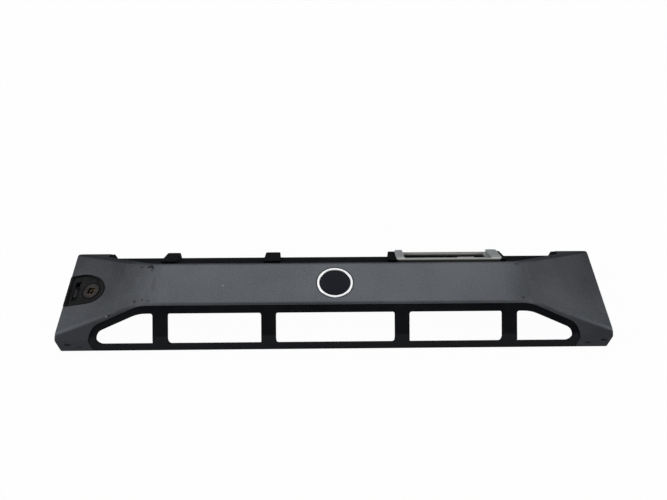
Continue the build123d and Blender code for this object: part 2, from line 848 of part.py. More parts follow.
# Lock housing: a recessed plate with a flange under the cover and the guides of the latch
slot_centre = (latch_x, (slot_low + slot_high) / 2)
rail_length = flange_top - plate_low
rail_middle = (flange_top + plate_low) / 2
with BuildPart() as lock_housing:
    extrude(pocket_outline(seam_gap), amount=seam_gap - pocket_end_depth)
    add(whole_form, mode=Mode.INTERSECT)
    add(full_hollow, mode=Mode.SUBTRACT)
    flange = plain_block(
        lock_face.offset(flange_back),
        ((flange_end_x + flange_right) / 2, (flange_low + flange_top) / 2),
        flange_right - flange_end_x,
        flange_top - flange_low,
    )
    extrude(flange, amount=frame_wall)
    pocket_end = -(half_width - lock_x) / cos(wing_angle) + pocket_end_strip
    recess_centre = ((pocket_end + bezel_height) / 2, 0)
    recess = plain_block(lock_face.offset(-pocket_depth), recess_centre, bezel_height - pocket_end, bezel_height)
    extrude(recess, amount=overrun, mode=Mode.SUBTRACT)
    # Boss of the key cylinder, with its bore and the groove round its flange
    with BuildSketch(lock_face.offset(-housing_boss_depth)):
        Circle(housing_boss_radius)
    extrude(amount=housing_boss_depth + flange_back)
    with BuildSketch(lock_face.offset(-pocket_depth)):
        Circle(barrel_groove_radius)
    extrude(amount=-barrel_groove_depth, mode=Mode.SUBTRACT)
    with BuildSketch(lock_face.offset(-housing_boss_depth)):
        Circle(barrel_radius + turning_gap)
    extrude(amount=housing_boss_depth, mode=Mode.SUBTRACT)
    # Slot of the finger pad, with a rail on each side of the slider and a stop for its spring
    slot = plain_block(lock_face.offset(flange_back), slot_centre, slot_width, slot_high - slot_low)
    extrude(slot, amount=-flange_back, mode=Mode.SUBTRACT)
    for shift in (rail_shift, -rail_shift):
        rail_centre = (latch_x + shift, rail_middle)
        rail = plain_block(lock_face.offset(guide_back), rail_centre, rail_wall, rail_length)
        extrude(rail, amount=guide_depth + flange_back)
    stop = plain_block(
        lock_face.offset(guide_back),
        (latch_x, spring_stop + spring_stop_wall / 2),
        2 * rail_shift,
        spring_stop_wall,
    )
    extrude(stop, amount=guide_depth + flange_back)
    # Posts for the retaining plate's screws, and holes for the cover's posts
    with BuildSketch(lock_face.offset(guide_back)):
        with Locations(*plate_screws_at):
            Circle(plate_post_radius)
    extrude(amount=guide_depth + flange_back)
    with BuildSketch(lock_face.offset(guide_back)):
        with Locations(*plate_screws_at):
            Circle(plate_screw_radius + turning_gap)
    extrude(amount=guide_depth + flange_back, mode=Mode.SUBTRACT)
    with BuildSketch(lock_face.offset(flange_back)):
        with Locations(*housing_screws_at):
            Circle(housing_post_radius + turning_gap)
    extrude(amount=frame_wall, mode=Mode.SUBTRACT)
lock_housing.part.label = "lock_housing"

housing_screws = screw_group(
    [place_on_lock(x, y, flange_back) for x, y in housing_screws_at],
    housing_screw_radius,
    frame_wall + cover_wall / 2 - turning_gap,
    housing_screw_head,
    housing_screw_head_height,
)
housing_screws.label = "housing_screws"

# Key cylinder: barrel, washer and nut stay, plug and cam turn
barrel_seat = -pocket_depth - barrel_groove_depth
barrel_top = barrel_seat + barrel_flange_height
washer_top = -housing_boss_depth
nut_top = washer_top - washer_height
with BuildPart() as lock_barrel:
    with BuildSketch(lock_face.offset(-barrel_end)):
        Circle(barrel_radius)
    extrude(amount=barrel_end + barrel_top)
    with BuildSketch(lock_face.offset(barrel_seat)):
        Circle(barrel_flange_radius)
    extrude(amount=barrel_flange_height)
    with BuildSketch(lock_face.offset(-barrel_end)):
        Circle(plug_radius + turning_gap)
    extrude(amount=barrel_end + barrel_top, mode=Mode.SUBTRACT)
    with BuildSketch(lock_face.offset(barrel_top)):
        Circle(plug_head_radius + turning_gap)
    extrude(amount=-plug_head_height, mode=Mode.SUBTRACT)
lock_barrel.part.label = "lock_barrel"

with BuildPart() as lock_washer:
    with BuildSketch(lock_face.offset(washer_top)):
        Circle(washer_radius)
        Circle(barrel_radius + turning_gap, mode=Mode.SUBTRACT)
    extrude(amount=-washer_height)
lock_washer.part.label = "lock_washer"

with BuildPart() as lock_nut:
    with BuildSketch(lock_face.offset(nut_top)):
        RegularPolygon(nut_flat, 6, major_radius=False, rotation=30)
        Circle(barrel_radius + turning_gap, mode=Mode.SUBTRACT)
    extrude(amount=-nut_height)
lock_nut.part.label = "lock_nut"

plug_top = barrel_top - plug_head_height + turning_gap
plug_end = -barrel_end - turning_gap
cam_back = plug_end - cam_thickness
keyway_floor = plug_top + plug_head_height - keyway_depth
with BuildPart() as lock_plug:
    with BuildSketch(lock_face.offset(plug_end)):
        Circle(plug_radius)
    extrude(amount=plug_top - plug_end)
    with BuildSketch(lock_face.offset(plug_top)):
        Circle(plug_head_radius)
    extrude(amount=plug_head_height)
    with BuildSketch(lock_face.offset(plug_end)):
        Rectangle(cam_square, cam_square)
    extrude(amount=turning_gap - cam_thickness)
    # Round keyway with its notches and centre post
    with BuildSketch(lock_face.offset(keyway_floor)):
        Circle(keyway_radius)
        with PolarLocations(keyway_radius, 4, start_angle=30):
            Rectangle(2 * (keyway_notch_reach - keyway_radius), keyway_notch)
        Circle(keyway_post_radius, mode=Mode.SUBTRACT)
    extrude(amount=keyway_depth, mode=Mode.SUBTRACT)
    with BuildSketch(lock_face.offset(cam_back)):
        Circle(screw_radius + turning_gap)
    extrude(amount=cam_screw_depth, mode=Mode.SUBTRACT)
lock_plug.part.label = "lock_plug"

with BuildPart() as key_pins:
    with BuildSketch(lock_face.offset(keyway_floor)):
        with PolarLocations(key_pin_ring, key_pin_count):
            Circle(key_pin_radius)
    extrude(amount=key_pin_height)
key_pins.part.label = "key_pins"

with BuildPart() as lock_cam:
    with BuildSketch(lock_face.offset(plug_end)):
        Circle(cam_hub_radius)
        with Locations((0, (cam_reach - cam_width / 2) / 2)):
            Rectangle(cam_width, cam_reach - cam_width / 2)
        with Locations((0, cam_reach - cam_width / 2)):
            Circle(cam_width / 2)
        Rectangle(cam_square + cam_gap, cam_square + cam_gap, mode=Mode.SUBTRACT)
    extrude(amount=-cam_thickness)
lock_cam.part.label = "lock_cam"

cam_screw = screw_group(
    [place_on_lock(0, 0, cam_back)],
    screw_radius,
    cam_screw_depth - screw_clearance,
    cam_screw_head,
    cam_screw_head_height,
)
cam_screw.label = "cam_screw"

# Release latch: a slider with a ribbed finger pad, a tab for its spring and a catch
latch_top = flange_back - latch_top_gap
latch_back = latch_top - latch_sheet
pad_centre = (latch_x, pad_low + pad_length / 2)
with BuildPart() as release_latch:
    slider_centre = (latch_x, (latch_low + latch_high) / 2)
    slider = plain_block(lock_face.offset(latch_back), slider_centre, latch_width, latch_high - latch_low)
    extrude(slider, amount=latch_sheet)
    pad = plain_block(lock_face.offset(latch_top), pad_centre, pad_width, pad_length)
    extrude(pad, amount=-pad_face - latch_top)
    with BuildSketch(lock_face.offset(-pad_face)):
        with Locations(pad_centre):
            with GridLocations(0, pad_groove_pitch, 1, pad_groove_count):
                Rectangle(pad_width, pad_groove)
    extrude(amount=-pad_groove, mode=Mode.SUBTRACT)
    tab = plain_block(
        lock_face.offset(guide_back + rail_gap),
        (latch_x, latch_high - latch_tab / 2),
        latch_width,
        latch_tab,
    )
    extrude(tab, amount=guide_depth - rail_gap + latch_back)
    catch_end = lock_face.offset(-catch_depth)
    catch = plain_block(catch_end, (latch_x, latch_low + catch_height / 2), catch_width, catch_height)
    extrude(catch, amount=catch_depth + latch_back)
    nose = plain_block(catch_end, (latch_x, latch_low - catch_nose / 2), catch_width, catch_nose)
    extrude(nose, amount=catch_nose_height)
release_latch.part.label = "release_latch"

# Retaining plate behind the slider, open round the catch and the nut
with BuildPart() as latch_plate:
    with BuildSketch(lock_face.offset(guide_back)):
        plate_end = latch_x - rail_shift - rail_wall / 2
        with Locations(((plate_end + plate_right) / 2, (plate_low + flange_top) / 2)):
            Rectangle(plate_right - plate_end, flange_top - plate_low)
        with Locations((latch_x, (plate_low + plate_notch_top) / 2)):
            Rectangle(2 * rail_shift - rail_wall, plate_notch_top - plate_low, mode=Mode.SUBTRACT)
        Circle(plate_round, mode=Mode.SUBTRACT)
        with Locations(*plate_screws_at):
            Circle(plate_screw_radius + turning_gap, mode=Mode.SUBTRACT)
    extrude(amount=-plate_thickness)
latch_plate.part.label = "latch_plate"

plate_screws = screw_group(
    [place_on_lock(x, y, plate_back) for x, y in plate_screws_at],
    plate_screw_radius,
    plate_thickness + guide_depth + flange_back - turning_gap,
    plate_screw_head,
    plate_screw_head_height,
)
plate_screws.label = "plate_screws"

# Return spring of the latch, coiled along its travel between the tab and the stop
spring_start = latch_high + spring_seat_gap + spring_wire
spring_end = spring_stop - spring_seat_gap - spring_wire
spring_depth = (latch_top + guide_back) / 2
spring_length = spring_end - spring_start
with BuildPart() as latch_spring:
    with BuildLine() as coil:
        Helix(
            pitch=spring_length / spring_turns,
            height=spring_length,
            radius=spring_radius,
            center=lock_face.from_local_coords(Vector(latch_x, spring_start, spring_depth)),
            direction=lock_face.y_dir,
        )
    # At half a millimetre the wire is drawn six-sided, near enough round
    with BuildSketch(Plane(origin=coil.line @ 0, z_dir=coil.line % 0)):
        RegularPolygon(spring_wire, spring_wire_sides)
    sweep(path=coil.line, is_frenet=True)
latch_spring.part.label = "latch_spring"

pieces = [
    front_cover.part,
    inner_frame.part,
    display_surround.part,
    cover_screws,
    surround_screws,
    badge_pad.part,
    badge_ring.part,
    badge_disc.part,
    lock_housing.part,
    housing_screws,
    lock_barrel.part,
    lock_washer.part,
    lock_nut.part,
    lock_plug.part,
    key_pins.part,
    lock_cam.part,
    cam_screw,
    release_latch.part,
    latch_plate.part,
    plate_screws,
    latch_spring.part,
]
os.makedirs("parts", exist_ok=True)
for piece in pieces:
    export_step(piece, f"parts/{piece.label}.step")
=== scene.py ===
import math

import bmesh
import bpy
from mathutils import Matrix, Vector


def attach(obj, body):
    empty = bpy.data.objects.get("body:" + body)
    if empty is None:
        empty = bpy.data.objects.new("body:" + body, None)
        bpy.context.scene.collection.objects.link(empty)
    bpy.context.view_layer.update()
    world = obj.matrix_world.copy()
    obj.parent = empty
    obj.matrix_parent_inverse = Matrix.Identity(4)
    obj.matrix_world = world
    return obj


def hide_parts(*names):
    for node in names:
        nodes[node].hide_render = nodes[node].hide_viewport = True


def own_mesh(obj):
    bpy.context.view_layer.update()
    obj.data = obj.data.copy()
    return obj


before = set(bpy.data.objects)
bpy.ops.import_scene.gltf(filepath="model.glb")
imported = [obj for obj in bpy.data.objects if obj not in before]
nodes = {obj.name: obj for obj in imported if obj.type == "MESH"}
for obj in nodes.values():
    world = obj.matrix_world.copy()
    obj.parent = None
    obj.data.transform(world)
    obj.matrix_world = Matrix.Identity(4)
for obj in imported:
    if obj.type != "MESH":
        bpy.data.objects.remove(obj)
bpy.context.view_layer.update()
mm = 0.001
print("frame loaded:", len(nodes), "parts")


def hexColour(code):
    # an sRGB code as the linear colour that a socket takes
    channels = []
    for start in (0, 2, 4):
        value = int(code[start:start + 2], 16) / 255
        channels.append(value / 12.92 if value <= 0.04045 else ((value + 0.055) / 1.055) ** 2.4)
    return (*channels, 1.0)


def addNode(tree, kind, settings=None, links=None):
    # settings are attributes or socket values, links are earlier nodes or their sockets
    node = tree.nodes.new(kind)
    for name, value in (settings or {}).items():
        if isinstance(name, str) and hasattr(node, name):
            setattr(node, name, value)
        else:
            node.inputs[name].default_value = hexColour(value) if isinstance(value, str) else value
    for name, source in (links or {}).items():
        socket = source.outputs[0] if isinstance(source, bpy.types.Node) else source
        tree.links.new(socket, node.inputs[name])
    return node


def newMaterial(name):
    material = bpy.data.materials.new(name)
    material.use_nodes = True
    tree = material.node_tree
    tree.nodes.clear()
    return material, tree, addNode(tree, "ShaderNodeTexCoord").outputs["Object"]


def noiseScale(size):
    # the scale of a noise whose blotches are about this many millimetres wide
    return 0.5 / (size * mm)


def spotDistance(tree, place, centre, reach):
    # distance from a spot's centre, which is 1 where its half extents in millimetres end
    scaled = addNode(tree, "ShaderNodeMapping", {
        "Location": [-c / r for c, r in zip(centre, reach)],
        "Scale": [1 / (r * mm) for r in reach],
    }, {"Vector": place})
    return addNode(tree, "ShaderNodeVectorMath", {"operation": "LENGTH"}, {0: scaled}).outputs["Value"]


# a noise stays near the middle of its range: the wide span takes in nearly all of it, and the narrow
# one gives more contrast
wideSpan = {"From Min": 0.3, "From Max": 0.7}
narrowSpan = {"From Min": 0.35, "From Max": 0.65}

# metallic grey paint sprayed on moulded ABS: its flakes throw the overhead light back, so the flat
# band reads light, the wings darker and the facets towards the viewer darkest, deepened by painted shade on
# the slopes
greyPaint = {
    "name": "sprayed metallic grey paint on ABS",
    "dark": "585b60",
    "light": "717479",
    "paintedShade": "3f4145",        # painted shade: slopes and side walls are made darker than the light alone makes them
    # lighter paint: wear on rubbed places, and a painted highlight on the rolled edges
    "wornAndHighlight": "8c8e91",
    "grime": "202124",
    # painted shade in a ring round the badge
    "badgeShade": "1c1d20",
    "chip": "c0c1c2",
    "metallic": 0.86,
    "specular": 0.2,
    "specularTint": "898989",
    "flake": 0.75,           # real flakes are 0.03 mm, drawn as coarse as they need to show
    "flakeShare": 0.5,
    "cloud": 28.0,
    "toneRange": {"From Min": 0.5, "From Max": 1.0},
    "roughRange": {**wideSpan, "To Min": 0.39, "To Max": 0.47},
    "peel": 1.3,
    "peelDepth": 0.06,
    "peelStrength": 0.14,
    "edgeRadius": 0.6,
    "edgeRange": {"From Min": 0.998, "From Max": 0.97, "To Max": 0.12},
    "steepRange": {"From Min": 0.97, "From Max": 0.655},
    "rub": 1.6,
    "rubStretch": (1.0, 0.16, 1.0),
    "rubRange": {"From Min": 0.5, "From Max": 0.72},
    "gripRange": {"From Min": 3 * mm, "From Max": 30 * mm, "To Min": 0.3, "To Max": 0.04},
    "leftRange": {"From Min": -20 * mm, "From Max": 20 * mm, "To Min": 1.0, "To Max": 0.25},
    "foldPlace": 157.0,      # the band rolls softly into the wings on each side of this line
    "foldReach": 22.0,
    "foldSlope": 0.2266,
    "foldArc": 2.45,         # half the width of the rounding that the moulding has there
    "offFoldRange": {"From Min": 3 * mm, "From Max": 9 * mm},
    "wingRange": {"From Min": 1 * mm, "From Max": 12 * mm},
    "creaseFacing": (0.118, 0.333, 0.9356),
    "creaseRange": {"From Min": 0.955, "From Max": 0.985, "To Max": 0.6},
    # the badge is 15 mm in radius, and the painted shade round it ends 0.9 mm outside it
    "badgeShadeRange": {"From Min": 15.0 * mm, "From Max": 15.9 * mm, "To Min": 0.7, "To Max": 0.0},
    "markEdge": 1.2,
    "markRaggedness": 1.8,
    "markRange": {"From Min": 1.45, "From Max": 2.05, "To Max": 0.0},
}
# rubbed dirt on the cover, in millimetres: place, half extents, strength
coverMarks = {
    "leftTop": ((-151.3, 17.3, 31.5), (3.2, 1.9, 9), 0.78),
    "leftTopTail": ((-149.2, 14.6, 31.5), (1.3, 3.0, 9), 0.42),
    "leftTopSmall": ((-158.6, 17.3, 31.1), (1.6, 0.9, 9), 0.65),
    "leftLow": ((-158.6, -16.8, 31.1), (1.5, 1.0, 9), 0.7),
    "leftLowMiddle": ((-152.9, -15.4, 31.5), (0.9, 1.3, 9), 0.7),
    "leftLowRight": ((-148.2, -16.6, 31.5), (2.2, 0.6, 9), 0.5),
    "leftCrease": ((-178.0, -26.7, 26.1), (0.9, 0.7, 9), 0.95),
    "leftRub": ((-146.0, 0.0, 31.5), (2.2, 9.0, 9), 0.14),
    "rightTop": ((150.5, 17.4, 31.5), (2.3, 0.8, 9), 0.6),
    "rightLow": ((150.3, -16.0, 31.5), (1.9, 0.9, 9), 0.65),
    "rightMiddle": ((160.5, 2.0, 31.0), (0.7, 0.6, 9), 0.35),
    "lipLeft": ((-212.0, -43.0, 9.7), (2.9, 2, 1.6), 0.95),
    "lipLeftInner": ((-203.1, -43.0, 5.7), (1.9, 2, 1.1), 0.8),
    "lipRight": ((214.0, -43.0, 10.2), (3.2, 2, 1.8), 0.95),
    "lipRightInner": ((202.6, -43.0, 6.7), (2.1, 2, 1.3), 0.9),
}
# bright specks where the paint has chipped, in the same way
coverChips = {
    "leftBand": ((-90.4, -2.4, 31.5), (0.5, 0.5, 9), 0.9),
    "nearBadge": ((22.4, 9.0, 31.5), (0.35, 0.35, 9), 0.5),
    "creaseSpeck": ((-180.4, -27.4, 25.6), (0.5, 0.4, 9), 0.7),
}


def makeGreyPaint():
    look = greyPaint
    material, tree, place = newMaterial(look["name"])
    axes = addNode(tree, "ShaderNodeSeparateXYZ", {}, {"Vector": place})
    surface = addNode(tree, "ShaderNodeNewGeometry")
    soft = addNode(tree, "ShaderNodeBevel", {"samples": 4, "Radius": look["edgeRadius"] * mm})
    flakes = addNode(tree, "ShaderNodeTexNoise", {
        "Scale": noiseScale(look["flake"]), "Detail": 1.0,
    }, {"Vector": place})
    clouds = addNode(tree, "ShaderNodeTexNoise", {
        "Scale": noiseScale(look["cloud"]), "Detail": 3.0,
    }, {"Vector": place})
    mixed = addNode(tree, "ShaderNodeMath", {
        "operation": "MULTIPLY_ADD", 1: look["flakeShare"],
    }, {0: flakes, 2: clouds})
    tone = addNode(tree, "ShaderNodeMapRange", look["toneRange"], {"Value": mixed})
    colour = addNode(tree, "ShaderNodeMix", {
        "data_type": "RGBA", 6: look["dark"], 7: look["light"],
    }, {0: tone})
    # how far a place is from the folds between the band and the wings
    outward = addNode(tree, "ShaderNodeMath", {"operation": "ABSOLUTE"}, {0: axes.outputs["X"]})
    fromFold = addNode(tree, "ShaderNodeMath", {
        "operation": "SUBTRACT", 1: look["foldPlace"] * mm,
    }, {0: outward})
    nearFold = addNode(tree, "ShaderNodeMath", {"operation": "ABSOLUTE"}, {0: fromFold})
    # fine upright rubs near the folds, where hands grip the bezel, and most at the lock's end
    stretched = addNode(tree, "ShaderNodeMapping", {"Scale": look["rubStretch"]}, {"Vector": place})
    rubs = addNode(tree, "ShaderNodeTexNoise", {
        "Scale": noiseScale(look["rub"]), "Detail": 3.0, "Roughness": 0.6,
    }, {"Vector": stretched})
    rubbed = addNode(tree, "ShaderNodeMapRange", look["rubRange"], {"Value": rubs})
    gripped = addNode(tree, "ShaderNodeMapRange", look["gripRange"], {"Value": nearFold})
    leftMost = addNode(tree, "ShaderNodeMapRange", look["leftRange"], {"Value": axes.outputs["X"]})
    grip = addNode(tree, "ShaderNodeMath", {"operation": "MULTIPLY"}, {0: gripped, 1: leftMost})
    rubShare = addNode(tree, "ShaderNodeMath", {"operation": "MULTIPLY"}, {0: rubbed, 1: grip})
    # the rolled edges are lighter: paint rubbed by wear, and a painted highlight along them
    likeness = addNode(tree, "ShaderNodeVectorMath", {
        "operation": "DOT_PRODUCT",
    }, {0: soft, 1: surface.outputs["Normal"]})
    atEdge = addNode(tree, "ShaderNodeMapRange", look["edgeRange"], {"Value": likeness.outputs["Value"]})
    offFold = addNode(tree, "ShaderNodeMapRange", look["offFoldRange"], {"Value": nearFold})
    edgeWearAndHighlight = addNode(tree, "ShaderNodeMath", {"operation": "MULTIPLY"}, {0: atEdge, 1: offFold})
    # painted shade on slopes and side walls
    facing = addNode(tree, "ShaderNodeSeparateXYZ", {}, {"Vector": surface.outputs["Normal"]})
    steep = addNode(tree, "ShaderNodeMapRange", look["steepRange"], {"Value": facing.outputs["Z"]})
    # and painted shade along the rolled creases of the wings, where they catch the softbox
    unsigned = addNode(tree, "ShaderNodeVectorMath", {
        "operation": "ABSOLUTE",
    }, {0: surface.outputs["Normal"]})
    towards = addNode(tree, "ShaderNodeVectorMath", {
        "operation": "DOT_PRODUCT", 1: look["creaseFacing"],
    }, {0: unsigned})
    rolledOver = addNode(tree, "ShaderNodeMapRange", look["creaseRange"], {"Value": towards.outputs["Value"]})
    onWing = addNode(tree, "ShaderNodeMapRange", look["wingRange"], {"Value": fromFold})
    onCrease = addNode(tree, "ShaderNodeMath", {"operation": "MULTIPLY"}, {0: rolledOver, 1: onWing})
    # painted shade in a ring round the badge, whatever the height
    fromBadge = addNode(tree, "ShaderNodeVectorMath", {"operation": "MULTIPLY", 1: (1, 1, 0)}, {0: place})
    badgeDistance = addNode(tree, "ShaderNodeVectorMath", {"operation": "LENGTH"}, {0: fromBadge})
    badgeShadeMask = addNode(tree, "ShaderNodeMapRange", look["badgeShadeRange"], {
        "Value": badgeDistance.outputs["Value"],
    })
    layers = [
        (look["wornAndHighlight"], rubShare), (look["wornAndHighlight"], edgeWearAndHighlight), (look["paintedShade"], steep),
        (look["paintedShade"], onCrease), (look["badgeShade"], badgeShadeMask),
    ]
    # marks and chips with ragged edges
    edge = addNode(tree, "ShaderNodeTexNoise", {
        "Scale": noiseScale(look["markEdge"]), "Detail": 3.0,
    }, {"Vector": place})
    for spots, shade in ((coverMarks, look["grime"]), (coverChips, look["chip"])):
        for centre, reach, strength in spots.values():
            ragged = addNode(tree, "ShaderNodeMath", {
                "operation": "MULTIPLY_ADD", 1: look["markRaggedness"],
            }, {0: edge, 2: spotDistance(tree, place, centre, reach)})
            mask = addNode(tree, "ShaderNodeMapRange", {
                **look["markRange"], "To Min": strength,
            }, {"Value": ragged})
            layers.append((shade, mask))
    for shade, mask in layers:
        colour = addNode(tree, "ShaderNodeMix", {
            "data_type": "RGBA", 7: shade,
        }, {0: mask, 6: colour.outputs[2]})
    rough = addNode(tree, "ShaderNodeMapRange", look["roughRange"], {"Value": clouds})
    # the fold's height map, in metres, spreads its bend over a wider strip, as the real soft roll does
    foldReach, foldArc = look["foldReach"] * mm, look["foldArc"] * mm
    inReach = addNode(tree, "ShaderNodeMath", {"operation": "MINIMUM", 1: foldReach}, {0: nearFold})
    inArc = addNode(tree, "ShaderNodeMath", {"operation": "MINIMUM", 1: foldArc}, {0: inReach})
    beyondArc = addNode(tree, "ShaderNodeMath", {"operation": "SUBTRACT"}, {0: inReach, 1: inArc})
    arcSquare = addNode(tree, "ShaderNodeMath", {"operation": "MULTIPLY"}, {0: inArc, 1: inArc})
    reachSquare = addNode(tree, "ShaderNodeMath", {"operation": "MULTIPLY"}, {0: inReach, 1: inReach})
    risen = addNode(tree, "ShaderNodeMath", {
        "operation": "MULTIPLY_ADD", 1: 0.5 / foldArc,
    }, {0: arcSquare, 2: beyondArc})
    softened = addNode(tree, "ShaderNodeMath", {
        "operation": "MULTIPLY_ADD", 1: -0.5 / foldReach,
    }, {0: reachSquare, 2: risen})
    height = addNode(tree, "ShaderNodeMath", {
        "operation": "MULTIPLY", 1: look["foldSlope"] / 2,
    }, {0: softened})
    roll = addNode(tree, "ShaderNodeBump", {
        "Strength": 1.0, "Distance": 1.0,
    }, {"Height": height, "Normal": soft})
    peel = addNode(tree, "ShaderNodeTexNoise", {
        "Scale": noiseScale(look["peel"]), "Detail": 2.0,
    }, {"Vector": place})
    bump = addNode(tree, "ShaderNodeBump", {
        "Strength": look["peelStrength"], "Distance": look["peelDepth"] * mm,
    }, {"Height": peel, "Normal": roll})
    shader = addNode(tree, "ShaderNodeBsdfPrincipled", {
        "Metallic": look["metallic"],
        "Specular IOR Level": look["specular"],
        "Specular Tint": look["specularTint"],
    }, {"Base Color": colour.outputs[2], "Roughness": rough, "Normal": bump})
    addNode(tree, "ShaderNodeOutputMaterial", {}, {"Surface": shader})
    return material


# what all the plastics share: dust and fingerprints leave duller patches a few millimetres across
plastics = {
    "dustPatch": 2.6,
    "dustShade": "77756f",
    "dustRange": {"From Min": 0.5, "From Max": 0.78},
    "roughShares": (0.88, 1.14),
    "paleWearAndLightRange": {"From Min": 1.15, "From Max": 0.85},
    "grainStrength": 0.3,
}
# black ABS from a spark eroded tool: an even dull grain with little reflection, and painted light that
# makes the lower rail paler
frameAbs = {
    "name": "spark eroded black ABS", "low": "131418", "high": "1c1d20", "dust": 0.02,
    "roughness": 0.8, "cloud": 16.0, "grain": 0.6, "depth": 0.05,
    "ior": 1.53, "specular": 0.014, "edgeRadius": 0.35,
    "paleWearAndLightPlace": (0.0, -43.5, 6.0), "paleWearAndLightReach": (400.0, 4.6, 22.0), "paleWearAndLight": "27282b",
}
# black ABS from a plainer tool, duller where dust sits in it
lockAbs = {
    "name": "satin moulded black ABS", "low": "17181a", "high": "222325", "dust": 0.07,
    "roughness": 0.5, "cloud": 5.0, "grain": 0.5, "depth": 0.04,
    "ior": 1.53, "specular": 0.12, "edgeRadius": 0.3,
}
# the latch is black ABS too: its finger pad is rubbed paler on the side that the thumb reaches
latchAbs = {
    "name": "rubbed black ABS", "low": "08090a", "high": "0e0e10", "dust": 0.02,
    "roughness": 0.5, "cloud": 5.0, "grain": 0.5, "depth": 0.04,
    "ior": 1.53, "specular": 0.1, "edgeRadius": 0.3,
    "paleWearAndLightPlace": (-215.0, 0.6, 17.0), "paleWearAndLightReach": (2.9, 5.6, 9.0), "paleWearAndLight": "38383b",
}
# the rim's outer lip is near black: painted shade for the gap where the rim meets the paint
rimShadeAbs = {
    "name": "near black ABS as painted shade", "low": "0a0a0c", "high": "111114", "dust": 0.02,
    "roughness": 0.6, "cloud": 4.0, "grain": 0.5, "depth": 0.04,
    "ior": 1.53, "specular": 0.05, "edgeRadius": 0.1,
}
# unpainted light grey ABS: slightly cloudy, soft edges from wear, painted shade in the gap below it,
# and painted light on the walls that face the front
surroundAbs = {
    "name": "moulded light grey ABS", "low": "787c7e", "high": "959a9b", "dust": 0.25,
    "roughness": 0.45, "cloud": 5.0, "grain": 0.6, "depth": 0.03,
    "ior": 1.53, "specular": 0.35, "edgeRadius": 0.35,
    "frontPaintedLight": "f2f0e8", "frontPaintedLightFacing": (0.0, -0.84, 0.543),
    "frontPaintedLightRange": {"From Min": 0.3, "From Max": 0.8},
    "gapPaintedShade": "1b1e24", "gapSlope": (0.0, 0.6455, 0.7738),
    "gapRange": {"From Min": 39.24 * mm, "From Max": 38.34 * mm, "To Max": 0.95},
}
# white polycarbonate with a thin silver coat: a clean bright rim that mirrors the softbox
ringPolycarbonate = {
    "name": "silvered white polycarbonate", "low": "f0f1f3", "high": "fbfbfc", "dust": 0.04,
    "metallic": 0.6, "roughness": 0.3, "cloud": 9.0, "grain": 1.2, "depth": 0.005,
    "ior": 1.58, "specular": 0.5, "edgeRadius": 0.2,
}
# black epoxy poured as a shallow dome: deep, smooth and slightly blue
discEpoxy = {
    "name": "poured black epoxy", "low": "0c0f18", "high": "141826", "dust": 0.03,
    "roughness": 0.3, "cloud": 9.0, "grain": 2.2, "depth": 0.006,
    "ior": 1.52, "specular": 0.1, "edgeRadius": 0.1,
}
# closed cell foam tape cut from a sheet: dull, and pitted by the cells
padFoam = {
    "name": "closed cell foam tape", "low": "161616", "high": "242424", "dust": 0.1,
    "roughness": 0.92, "cloud": 3.0, "grain": 0.45, "depth": 0.1,
    "ior": 1.45, "specular": 0.2, "edgeRadius": 0.1,
}


